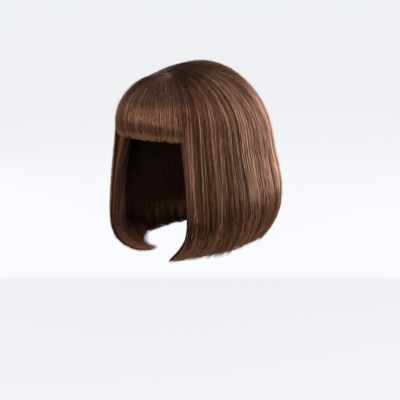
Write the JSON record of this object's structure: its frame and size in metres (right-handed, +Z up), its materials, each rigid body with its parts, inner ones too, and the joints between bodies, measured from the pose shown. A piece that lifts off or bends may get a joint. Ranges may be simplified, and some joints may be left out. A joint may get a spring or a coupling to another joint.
{
  "type": "bob wig",
  "caption": "Chin-length bob wig with a full blunt fringe, turned-under tips, a crown patch and an open net cap that fits over a head.",
  "frame": {"origin": "the highest point of the inside of the cap, where it sits on the top of the head", "axes": "+Z up, the fringe faces -Y, the wearer's left is +X"},
  "size_m": [0.2348, 0.2679, 0.2956],
  "materials": {
    "cap_net": "dark elastic net with sewn rows of hair",
    "patch": "pale skin-toned mesh",
    "fringe_hair": "smooth synthetic hair, soft gloss, warm brown",
    "hair": "smooth synthetic hair, soft gloss, chestnut brown"
  },
  "bodies": {
    "root": {"cap": "cap_net", "parting_patch": "patch", "fringe": "fringe_hair", "left_side": "hair", "right_side": "hair", "back": "hair"}
  },
  "joints": []
}
